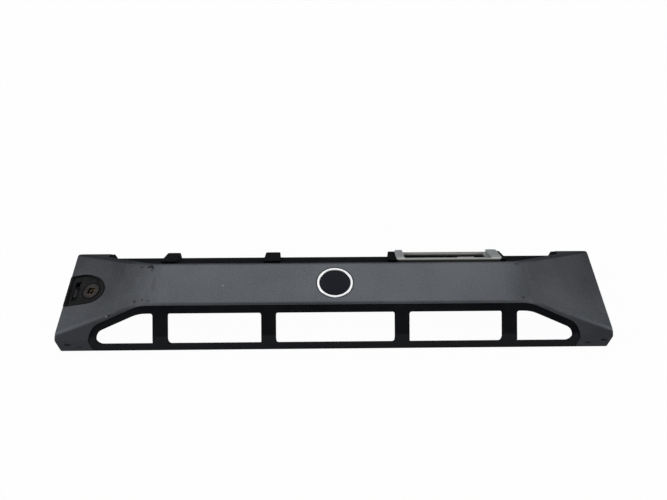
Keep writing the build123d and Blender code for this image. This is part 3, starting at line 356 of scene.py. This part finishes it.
def makePlastic(look):
    material, tree, place = newMaterial(look["name"])
    soft = addNode(tree, "ShaderNodeBevel", {"samples": 4, "Radius": look["edgeRadius"] * mm})
    clouds = addNode(tree, "ShaderNodeTexNoise", {
        "Scale": noiseScale(look["cloud"]), "Detail": 3.0,
    }, {"Vector": place})
    grain = addNode(tree, "ShaderNodeTexNoise", {
        "Scale": noiseScale(look["grain"]), "Detail": 2.0,
    }, {"Vector": place})
    dust = addNode(tree, "ShaderNodeTexNoise", {
        "Scale": noiseScale(plastics["dustPatch"]), "Detail": 5.0, "Roughness": 0.7,
    }, {"Vector": place})
    tone = addNode(tree, "ShaderNodeMapRange", narrowSpan, {"Value": clouds})
    colour = addNode(tree, "ShaderNodeMix", {
        "data_type": "RGBA", 6: look["low"], 7: look["high"],
    }, {0: tone})
    dusty = addNode(tree, "ShaderNodeMapRange", {
        **plastics["dustRange"], "To Max": look["dust"],
    }, {"Value": dust})
    layers = [(plastics["dustShade"], dusty)]
    # a pale patch: wear on the latch's finger pad, and painted light along the frame's lower rail
    if "paleWearAndLight" in look:
        distance = spotDistance(tree, place, look["paleWearAndLightPlace"], look["paleWearAndLightReach"])
        inside = addNode(tree, "ShaderNodeMapRange", plastics["paleWearAndLightRange"], {"Value": distance})
        layers.append((look["paleWearAndLight"], inside))
    # painted light on the walls that face the front, and painted shade in the gap below them
    if "frontPaintedLight" in look:
        surface = addNode(tree, "ShaderNodeNewGeometry")
        facing = addNode(tree, "ShaderNodeVectorMath", {
            "operation": "DOT_PRODUCT", 1: look["frontPaintedLightFacing"],
        }, {0: surface.outputs["Normal"]})
        paintedLight = addNode(tree, "ShaderNodeMapRange", look["frontPaintedLightRange"], {"Value": facing.outputs["Value"]})
        level = addNode(tree, "ShaderNodeVectorMath", {
            "operation": "DOT_PRODUCT", 1: look["gapSlope"],
        }, {0: place})
        inGap = addNode(tree, "ShaderNodeMapRange", look["gapRange"], {"Value": level.outputs["Value"]})
        layers += [(look["frontPaintedLight"], paintedLight), (look["gapPaintedShade"], inGap)]
    for shade, mask in layers:
        colour = addNode(tree, "ShaderNodeMix", {
            "data_type": "RGBA", 7: shade,
        }, {0: mask, 6: colour.outputs[2]})
    smoothest, roughest = (look["roughness"] * share for share in plastics["roughShares"])
    rough = addNode(tree, "ShaderNodeMapRange", {
        **wideSpan, "To Min": smoothest, "To Max": min(roughest, 1),
    }, {"Value": dust})
    bump = addNode(tree, "ShaderNodeBump", {
        "Strength": plastics["grainStrength"], "Distance": look["depth"] * mm,
    }, {"Height": grain, "Normal": soft})
    shader = addNode(tree, "ShaderNodeBsdfPrincipled", {
        "IOR": look["ior"], "Specular IOR Level": look["specular"], "Metallic": look.get("metallic", 0.0),
    }, {"Base Color": colour.outputs[2], "Roughness": rough, "Normal": bump})
    addNode(tree, "ShaderNodeOutputMaterial", {}, {"Surface": shader})
    return material


# what all the metals share: fine streaks, and clouds six times as wide as these
metals = {
    "cloudWidths": 6,
    "streakStretch": (1.0, 5.0, 1.0),
    "streakDepth": 0.02,
    "streakStrength": 0.15,
    "roughShares": (0.8, 1.25),
}
# die cast zinc with black chromate, rubbed by keys, so the bare zinc warms and lightens it
castZinc = {
    "name": "rubbed chromated die cast zinc", "low": "4c4947", "high": "625e5b",
    "roughness": 0.42, "streak": 0.5, "edgeRadius": 0.25,
}
# cold rolled sheet with clear zinc: fine rolling lines
sheetSteel = {
    "name": "clear zinc plated sheet steel", "low": "9a9b98", "high": "b9b9b5",
    "roughness": 0.33, "streak": 0.6, "edgeRadius": 0.15,
}
# headed and rolled screws with clear zinc: a little greyer than the sheet
screwSteel = {
    "name": "clear zinc plated screw steel", "low": "83847f", "high": "a9a9a3",
    "roughness": 0.36, "streak": 0.35, "edgeRadius": 0.12,
}
# bar brass turned on a lathe: warm and bright
pinBrass = {
    "name": "turned brass", "low": "e0a048", "high": "f6c878",
    "roughness": 0.32, "streak": 0.3, "edgeRadius": 0.08,
}
# music wire as drawn: grey with long fine lines
wireSteel = {
    "name": "drawn spring steel", "low": "6e6f70", "high": "94959a",
    "roughness": 0.28, "streak": 0.25, "edgeRadius": 0.05,
}


def makeMetal(look):
    material, tree, place = newMaterial(look["name"])
    soft = addNode(tree, "ShaderNodeBevel", {"samples": 4, "Radius": look["edgeRadius"] * mm})
    clouds = addNode(tree, "ShaderNodeTexNoise", {
        "Scale": noiseScale(look["streak"] * metals["cloudWidths"]), "Detail": 3.0,
    }, {"Vector": place})
    stretched = addNode(tree, "ShaderNodeMapping", {"Scale": metals["streakStretch"]}, {"Vector": place})
    streaks = addNode(tree, "ShaderNodeTexNoise", {
        "Scale": noiseScale(look["streak"]), "Detail": 2.0,
    }, {"Vector": stretched})
    tone = addNode(tree, "ShaderNodeMapRange", narrowSpan, {"Value": clouds})
    colour = addNode(tree, "ShaderNodeMix", {
        "data_type": "RGBA", 6: look["low"], 7: look["high"],
    }, {0: tone})
    smoothest, roughest = (look["roughness"] * share for share in metals["roughShares"])
    rough = addNode(tree, "ShaderNodeMapRange", {
        **wideSpan, "To Min": smoothest, "To Max": roughest,
    }, {"Value": streaks})
    bump = addNode(tree, "ShaderNodeBump", {
        "Strength": metals["streakStrength"], "Distance": metals["streakDepth"] * mm,
    }, {"Height": streaks, "Normal": soft})
    shader = addNode(tree, "ShaderNodeBsdfPrincipled", {"Metallic": 1.0}, {
        "Base Color": colour.outputs[2], "Roughness": rough, "Normal": bump,
    })
    addNode(tree, "ShaderNodeOutputMaterial", {}, {"Surface": shader})
    return material


greyPaintFinish = makeGreyPaint()
frameFinish, lockFinish = makePlastic(frameAbs), makePlastic(lockAbs)
surroundFinish, ringFinish = makePlastic(surroundAbs), makePlastic(ringPolycarbonate)
discFinish, padFinish = makePlastic(discEpoxy), makePlastic(padFoam)
latchFinish, rimShadeFinish = makePlastic(latchAbs), makePlastic(rimShadeAbs)
castFinish = makeMetal(castZinc)
sheetFinish, screwFinish = makeMetal(sheetSteel), makeMetal(screwSteel)
brassFinish, wireFinish = makeMetal(pinBrass), makeMetal(wireSteel)
print("materials made")

nodeFinishes = {
    "front_cover": greyPaintFinish,
    "inner_frame": frameFinish,
    "display_surround": surroundFinish,
    "badge_pad": padFinish,
    "badge_ring": ringFinish,
    "badge_disc": discFinish,
    "lock_housing": lockFinish,
    "lock_barrel": castFinish,
    "lock_washer": sheetFinish,
    "lock_nut": sheetFinish,
    "lock_plug": castFinish,
    "key_pins": brassFinish,
    "lock_cam": sheetFinish,
    "release_latch": latchFinish,
    "latch_plate": sheetFinish,
    "cover_screws": screwFinish,
    "surround_screws": screwFinish,
    "housing_screws": screwFinish,
    "plate_screws": screwFinish,
    "cam_screw": screwFinish,
    "latch_spring": wireFinish,
}
for nodeName, finish in nodeFinishes.items():
    mesh = nodes[nodeName].data
    mesh.materials.clear()
    mesh.materials.append(finish)
print("parts finished:", len(nodeFinishes))


def addPiece(name, form, finishes, body):
    # turns a bmesh in metres into a piece that rides on a body
    mesh = bpy.data.meshes.new(name)
    form.to_mesh(mesh)
    form.free()
    for finish in finishes:
        mesh.materials.append(finish)
    piece = bpy.data.objects.new(name, mesh)
    bpy.context.scene.collection.objects.link(piece)
    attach(piece, body)
    return piece


# the badge's disc is poured resin, so it stands a little domed inside its ring: sizes in millimetres
badge = {
    "floor": 30.7, "edge": 31.25, "crown": 0.42, "radius": 12.5, "edgeRadius": 0.35,
    "edgeSteps": 6, "domeSteps": 12, "sides": 96,
}


def turnProfile(form, profile, sides):
    # a closed turned shape from pairs of radius and height in millimetres, from one end of the axis
    # to the other
    angles = [2 * math.pi * side / sides for side in range(sides)]
    rings = []
    for radius, height in profile:
        if radius == 0:
            rings.append([form.verts.new((0, 0, height * mm))])
            continue
        rings.append([
            form.verts.new((radius * mm * math.cos(angle), radius * mm * math.sin(angle), height * mm))
            for angle in angles
        ])
    for lower, upper in zip(rings, rings[1:]):
        for side in range(sides):
            after = (side + 1) % sides
            corners = [
                lower[side % len(lower)], lower[after % len(lower)],
                upper[after % len(upper)], upper[side % len(upper)],
            ]
            # at the axis two corners are one
            form.faces.new(list(dict.fromkeys(corners))).smooth = True


def makeBadgeDisc():
    look = badge
    form = bmesh.new()
    profile = [(0, look["floor"]), (look["radius"], look["floor"])]
    for step in range(look["edgeSteps"] + 1):
        turn = math.pi / 2 * step / look["edgeSteps"]
        inset = look["edgeRadius"] * (1 - math.cos(turn))
        below = look["edgeRadius"] * (1 - math.sin(turn))
        profile.append((look["radius"] - inset, look["edge"] - below))
    flatRadius = look["radius"] - look["edgeRadius"]
    for step in range(1, look["domeSteps"] + 1):
        share = 1 - step / look["domeSteps"]
        profile.append((flatRadius * share, look["edge"] + look["crown"] * (1 - share * share)))
    turnProfile(form, profile, look["sides"])
    bmesh.ops.recalc_face_normals(form, faces=form.faces)
    piece = addPiece("badgeDisc", form, [discFinish], "bezel")
    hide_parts("badge_disc")


makeBadgeDisc()
print("badge made")

# the left wing's plane, with its origin at the key cylinder's middle
lockOrigin = Vector((-200.2, 1.3, 21.7125)) * mm
lockAcross, lockOut = Vector((0.9752823, 0, 0.2209624)), Vector((-0.2209624, 0, 0.9752823))
# rim of the lock's housing that laps over the cover round the pocket, its lip painted near black as shade; in
# millimetres on that plane
pocketRim = {
    # its outer edge, from its upper end round the tip to its lower end
    "outer": [
        (-20.2, 17.1), (-15, 17.15), (-11, 17.1), (-7, 16.7), (-3, 15.7), (1, 14.0), (4.4, 12.3),
        (7.4, 9.9), (10.0, 6.8), (12.0, 3.3), (13.1, -0.2), (13.15, -3.9), (11.8, -7.2), (8.7, -10.6),
        (4.9, -12.6), (0.9, -13.4), (-4.6, -13.55), (-10.3, -13.5), (-20.2, -13.45),
    ],
    # the pocket's cut edge: a straight run, the bend, the tip and a straight run back, with the
    # angles in degrees
    "leftEnd": -20.2, "topRun": 9.2, "lowRun": 20.2, "pocketTop": 16.8, "pocketLow": -12.3,
    "bendCentre": (-11.0, -6.267), "bendRadius": 23.067, "bendAngles": (90.0, 15.76),
    "tipCentre": (1.769, -2.662), "tipRadius": 9.8, "tipAngles": (15.76, -100.4),
    # its section: a thin skirt drops down the pocket's wall, and a flat lap that ends in a lip rises
    # from the cover and sinks a little in the paint
    "skirt": 0.12, "drop": 1.2, "rise": 0.28, "sink": 0.02, "lip": 0.75, "leastLip": 0.1,
    "innerCorner": 0.05, "outerCorner": 0.12, "leastCorner": 0.15,
    # shares of the rise at its corners and at its outer foot
    "innerRise": 0.6, "outerRise": 0.9, "footRise": 0.4,
    # the section's sides in the painted shade finish, and those that are shaded smooth
    "shadeSides": (3, 4, 5), "smoothSides": (1, 3, 4),
    "steps": 120, "curveSteps": 12,
}


def pocketEdge(share):
    # a point of the pocket's cut edge, from its upper end round the tip to its lower end
    look = pocketRim
    arcs = [
        (look["bendCentre"], look["bendRadius"], *map(math.radians, look["bendAngles"])),
        (look["tipCentre"], look["tipRadius"], *map(math.radians, look["tipAngles"])),
    ]
    lengths = [radius * (first - last) for centre, radius, first, last in arcs]
    travel = share * sum((look["topRun"], *lengths, look["lowRun"]))
    if travel < look["topRun"]:
        return look["leftEnd"] + travel, look["pocketTop"]
    travel -= look["topRun"]
    for (centre, radius, first, last), length in zip(arcs, lengths):
        if travel < length:
            angle = first - travel / radius
            return centre[0] + radius * math.cos(angle), centre[1] + radius * math.sin(angle)
        travel -= length
    return -travel, look["pocketLow"]


def smoothOutline(points, samples, curveSteps):
    # evenly spread points on a Catmull-Rom curve through the outline's points
    curve = []
    for index in range(len(points) - 1):
        before, first = points[max(index - 1, 0)], points[index]
        second, after = points[index + 1], points[min(index + 2, len(points) - 1)]
        for step in range(curveSteps):
            t = step / curveSteps
            curve.append(tuple(
                0.5 * (
                    2 * b + (c - a) * t
                    + (2 * a - 5 * b + 4 * c - d) * t * t
                    + (3 * b - a - 3 * c + d) * t ** 3
                )
                for a, b, c, d in zip(before, first, second, after)
            ))
    curve.append(points[-1])
    reached = [0.0]
    for first, second in zip(curve, curve[1:]):
        reached.append(reached[-1] + math.dist(first, second))
    spread, index = [], 0
    for sample in range(samples):
        target = reached[-1] * sample / (samples - 1)
        while index < len(reached) - 2 and reached[index + 1] < target:
            index += 1
        share = (target - reached[index]) / (reached[index + 1] - reached[index])
        spread.append(tuple(a + (b - a) * share for a, b in zip(curve[index], curve[index + 1])))
    return spread


def makePocketRim():
    look = pocketRim
    form = bmesh.new()
    skirt, rise, drop, sink = look["skirt"], look["rise"], look["drop"], look["sink"]
    outer = smoothOutline(look["outer"], look["steps"], look["curveSteps"])
    rows = []
    for step, (farX, farY) in enumerate(outer):
        nearX, nearY = pocketEdge(step / (look["steps"] - 1))
        width = math.dist((nearX, nearY), (farX, farY))
        lipStart = max(width - look["lip"], look["leastLip"])
        cornerStart = max(width - look["outerCorner"], look["leastCorner"])
        section = [
            (-skirt, -drop), (-skirt, rise * look["innerRise"]), (look["innerCorner"], rise),
            (lipStart, rise), (cornerStart, rise * look["outerRise"]),
            (width, rise * look["footRise"]), (width, -sink), (0.0, -sink), (0.0, -drop),
        ]
        row = []
        for out, height in section:
            x, y = (n + (f - n) * out / width for n, f in ((nearX, farX), (nearY, farY)))
            across, up = lockAcross * x * mm, lockOut * height * mm
            row.append(form.verts.new(lockOrigin + across + Vector((0, y * mm, 0)) + up))
        rows.append(row)
    count = len(rows[0])
    for first, second in zip(rows, rows[1:]):
        for side in range(count):
            after = (side + 1) % count
            face = form.faces.new((first[side], first[after], second[after], second[side]))
            # the lip's outer sides take the near black finish, as painted shade
            face.material_index = 1 if side in look["shadeSides"] else 0
            face.smooth = side in look["smoothSides"]
    for row in (rows[0], rows[-1]):
        form.faces.new(row)
    bmesh.ops.recalc_face_normals(form, faces=form.faces)
    addPiece("pocketRim", form, [lockFinish, rimShadeFinish], "bezel")


makePocketRim()
print("pocket rim made")

# the latch's return spring, in millimetres: drawn wire coiled along the latch's travel, with its end
# turns closed
coil = {
    "across": -13.8, "depth": -5.95, "radius": 1.35, "wire": 0.25, "turns": 6.5, "closed": 0.75,
    "low": 9.35, "high": 18.05, "wireSides": 12, "stepsPerTurn": 28, "squashed": 0.62,
}


def makeSpring():
    look = coil
    form = bmesh.new()
    axis = lockOrigin + lockAcross * look["across"] * mm + lockOut * look["depth"] * mm
    alongY = Vector((0, 1, 0))
    steps = int(look["turns"] * look["stepsPerTurn"])
    openTurns = look["turns"] - 2 * look["closed"]
    closedRise = look["closed"] * 2 * look["wire"]
    openRise = look["high"] - look["low"] - 2 * closedRise

    def centreLine(step):
        turn = look["turns"] * step / steps
        if turn < look["closed"]:
            rise = 2 * look["wire"] * turn
        elif turn > look["turns"] - look["closed"]:
            rise = look["high"] - look["low"] - 2 * look["wire"] * (look["turns"] - turn)
        else:
            rise = closedRise + openRise * (turn - look["closed"]) / openTurns
        angle = 2 * math.pi * turn
        outward = lockAcross * math.cos(angle) + lockOut * math.sin(angle)
        return axis + outward * look["radius"] * mm + alongY * (look["low"] + rise) * mm, outward

    rings = []
    for step in range(steps + 1):
        centre, outward = centreLine(step)
        before, after = centreLine(max(step - 1, 0))[0], centreLine(min(step + 1, steps))[0]
        tangent = (after - before).normalized()
        binormal = tangent.cross(outward).normalized()
        ring = []
        for side in range(look["wireSides"]):
            angle = 2 * math.pi * side / look["wireSides"]
            around = outward * math.cos(angle) + binormal * math.sin(angle)
            ring.append(form.verts.new(centre + around * look["wire"] * mm))
        rings.append(ring)
    for lower, upper in zip(rings, rings[1:]):
        for side in range(look["wireSides"]):
            after = (side + 1) % look["wireSides"]
            form.faces.new((lower[side], lower[after], upper[after], upper[side])).smooth = True
    form.faces.new(rings[0])
    form.faces.new(rings[-1])
    bmesh.ops.recalc_face_normals(form, faces=form.faces)
    piece = addPiece("latchSpring", form, [wireFinish], "bezel")
    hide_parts("latch_spring")
    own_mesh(piece)


makeSpring()
print("spring made")

# floor and surroundings of a plain studio: the camera and reflections see the floor's glow, which is
# nearly white, and the rest of the floor keeps the shadow
studio = {
    "floorColour": "f4f4f4",
    "white": "ffffff",
    "floorGlow": 0.975,
    "floorSize": 8.0,        # metres, and the paper's sizes are millimetres
    "paperGrain": 1.5,
    "paperDepth": 0.05,
    "paperStrength": 0.05,
    "worldLight": 0.14,
}
# place and size in metres and power in watts: the long softbox stands where the flat band mirrors it,
# the others only fill
lamps = {
    "window softbox": ((0.0, 0.80, 1.0), (1.25, 0.75), 3.95),
    "left softbox": ((-1.25, 0.0, 0.75), (0.7, 0.7), 6.5),
    "right softbox": ((1.25, 0.0, 0.75), (0.7, 0.7), 5.0),
    "front softbox": ((0.0, -1.3, 0.8), (1.0, 0.6), 3.0),
}


def makeFloor():
    material, tree, place = newMaterial("pale paper floor")
    paper = addNode(tree, "ShaderNodeTexNoise", {
        "Scale": noiseScale(studio["paperGrain"]), "Detail": 2.0,
    }, {"Vector": place})
    bump = addNode(tree, "ShaderNodeBump", {
        "Strength": studio["paperStrength"], "Distance": studio["paperDepth"] * mm,
    }, {"Height": paper})
    lit = addNode(tree, "ShaderNodeBsdfDiffuse", {"Color": studio["floorColour"]}, {"Normal": bump})
    glow = addNode(tree, "ShaderNodeEmission", {"Color": studio["white"], "Strength": 1.0})
    path = addNode(tree, "ShaderNodeLightPath")
    seen = addNode(tree, "ShaderNodeMath", {
        "operation": "MAXIMUM",
    }, {0: path.outputs["Is Camera Ray"], 1: path.outputs["Is Glossy Ray"]})
    share = addNode(tree, "ShaderNodeMath", {"operation": "MULTIPLY", 1: studio["floorGlow"]}, {0: seen})
    shader = addNode(tree, "ShaderNodeMixShader", {}, {0: share, 1: lit, 2: glow})
    addNode(tree, "ShaderNodeOutputMaterial", {}, {"Surface": shader})
    half = studio["floorSize"] / 2
    corners = [(-half, -half, 0), (half, -half, 0), (half, half, 0), (-half, half, 0)]
    mesh = bpy.data.meshes.new("floor")
    mesh.from_pydata(corners, [], [(0, 1, 2, 3)])
    mesh.materials.append(material)
    floor = bpy.data.objects.new("floor", mesh)
    bpy.context.scene.collection.objects.link(floor)


def makeWorld():
    world = bpy.data.worlds.new("studio world")
    bpy.context.scene.world = world
    world.use_nodes = True
    tree = world.node_tree
    tree.nodes.clear()
    light = addNode(tree, "ShaderNodeBackground", {
        "Color": studio["white"], "Strength": studio["worldLight"],
    })
    backdrop = addNode(tree, "ShaderNodeBackground", {"Color": studio["white"], "Strength": 1.0})
    path = addNode(tree, "ShaderNodeLightPath")
    mixed = addNode(tree, "ShaderNodeMixShader", {}, {
        0: path.outputs["Is Camera Ray"], 1: light, 2: backdrop,
    })
    addNode(tree, "ShaderNodeOutputWorld", {}, {"Surface": mixed})


def makeLamp(name, place, size, power):
    lamp = bpy.data.lights.new(name, "AREA")
    lamp.shape = "RECTANGLE"
    lamp.size, lamp.size_y = size
    lamp.energy = power
    holder = bpy.data.objects.new(name, lamp)
    holder.location = place
    holder.rotation_euler = (-Vector(place)).to_track_quat("-Z", "Y").to_euler()
    bpy.context.scene.collection.objects.link(holder)


# the camera stands where the photograph was taken: angles in degrees, place and sensor in
# millimetres, focal length and image width in pixels
shot = {
    "place": (-8.67, -304.3, 452.5),
    "pitch": 51.24,
    "yaw": 1.35,
    "roll": 0.664,
    "focal": 641.0,
    "imageWidth": 667,
    "sensor": 36.0,
    "nearest": 10.0,
}


def makeCamera():
    pitch, yaw, roll = (math.radians(shot[name]) for name in ("pitch", "yaw", "roll"))
    ahead = Vector((math.sin(yaw) * math.cos(pitch), math.cos(yaw) * math.cos(pitch), -math.sin(pitch)))
    right = Vector((math.cos(yaw), -math.sin(yaw), 0))
    up = right.cross(ahead)
    tiltedRight = math.cos(roll) * right + math.sin(roll) * up
    tiltedUp = math.cos(roll) * up - math.sin(roll) * right
    turn = Matrix((tiltedRight, tiltedUp, -ahead)).transposed().to_4x4()
    camera = bpy.data.cameras.new("camera")
    camera.sensor_width = shot["sensor"]
    camera.lens = shot["focal"] / shot["imageWidth"] * shot["sensor"]
    camera.clip_start = shot["nearest"] * mm
    holder = bpy.data.objects.new("camera", camera)
    holder.matrix_world = Matrix.Translation(Vector(shot["place"]) * mm) @ turn
    bpy.context.scene.collection.objects.link(holder)
    bpy.context.scene.camera = holder


makeFloor()
makeWorld()
for name, (place, size, power) in lamps.items():
    makeLamp(name, place, size, power)
makeCamera()
bpy.context.scene.view_settings.view_transform = "Standard"
print("studio set")
